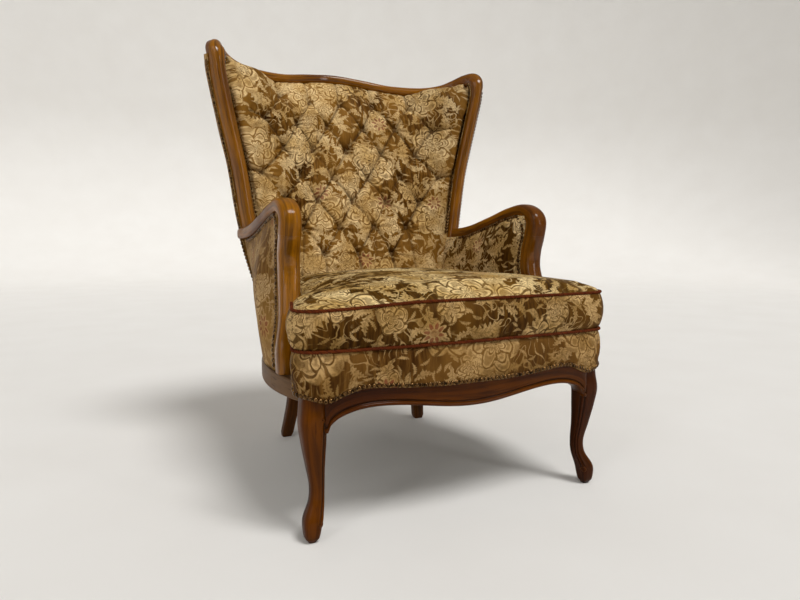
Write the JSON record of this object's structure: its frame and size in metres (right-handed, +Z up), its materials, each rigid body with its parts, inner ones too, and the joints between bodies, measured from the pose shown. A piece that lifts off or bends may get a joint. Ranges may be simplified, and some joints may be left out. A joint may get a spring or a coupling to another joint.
{
  "type": "wing armchair",
  "caption": "Wing armchair with a carved show-wood frame, cabriole front legs, deep-buttoned curved back, nailed open-post arms and a sprung seat with corded edges.",
  "frame": {"origin": "on the floor, under the middle of the bounding box", "axes": "+Z up from the floor, -Y towards the front of the seat, +X towards the right arm as seen by someone facing the chair"},
  "size_m": [0.7712, 0.8312, 1.0141],
  "materials": {
    "show_wood": "glossy stained varnish, darker in the carved recesses",
    "frame_wood": "bare sawn hardwood",
    "velvet": "figured floral velvet, olive-brown and gold with a worn nap",
    "cord": "twisted rust-red cord",
    "webbing": "coarse natural jute weave",
    "dust_cloth": "plain black cotton",
    "steel": "plain drawn wire"
  },
  "bodies": {
    "root": {"front_rail": "show_wood", "back_rail": "show_wood", "stuffing_rail": "frame_wood", "crest_rail": "show_wood", "front_leg_left": "show_wood", "rear_leg_left": "show_wood", "side_rail_left": "show_wood", "front_corner_block_left": "frame_wood", "front_block_screw_left": "steel", "rear_corner_block_left": "frame_wood", "rear_block_screw_left": "steel", "arm_post_left": "show_wood", "arm_rail_left": "show_wood", "wing_post_left": "show_wood", "inside_arm_left": "velvet", "outside_arm_left": "velvet", "front_leg_right": "show_wood", "rear_leg_right": "show_wood", "side_rail_right": "show_wood", "front_corner_block_right": "frame_wood", "front_block_screw_right": "steel", "rear_corner_block_right": "frame_wood", "rear_block_screw_right": "steel", "arm_post_right": "show_wood", "arm_rail_right": "show_wood", "wing_post_right": "show_wood", "inside_arm_right": "velvet", "outside_arm_right": "velvet", "length_strap_1": "webbing", "length_strap_2": "webbing", "length_strap_3": "webbing", "length_strap_4": "webbing", "length_strap_5": "webbing", "cross_strap_1": "webbing", "cross_strap_2": "webbing", "cross_strap_3": "webbing", "cross_strap_4": "webbing", "seat_spring_1": "steel", "seat_spring_2": "steel", "seat_spring_3": "steel", "seat_spring_4": "steel", "seat_spring_5": "steel", "seat_spring_6": "steel", "seat_spring_7": "steel", "seat_spring_8": "steel", "seat_spring_9": "steel", "spring_hessian": "webbing", "seat_pad": "velvet", "seat_border": "velvet", "lower_welt": "cord", "upper_welt": "cord", "dust_cover": "dust_cloth", "back_strap_1": "webbing", "back_strap_2": "webbing", "back_strap_3": "webbing", "back_strap_4": "webbing", "back_pad": "velvet", "outside_back": "velvet"}
  },
  "joints": []
}
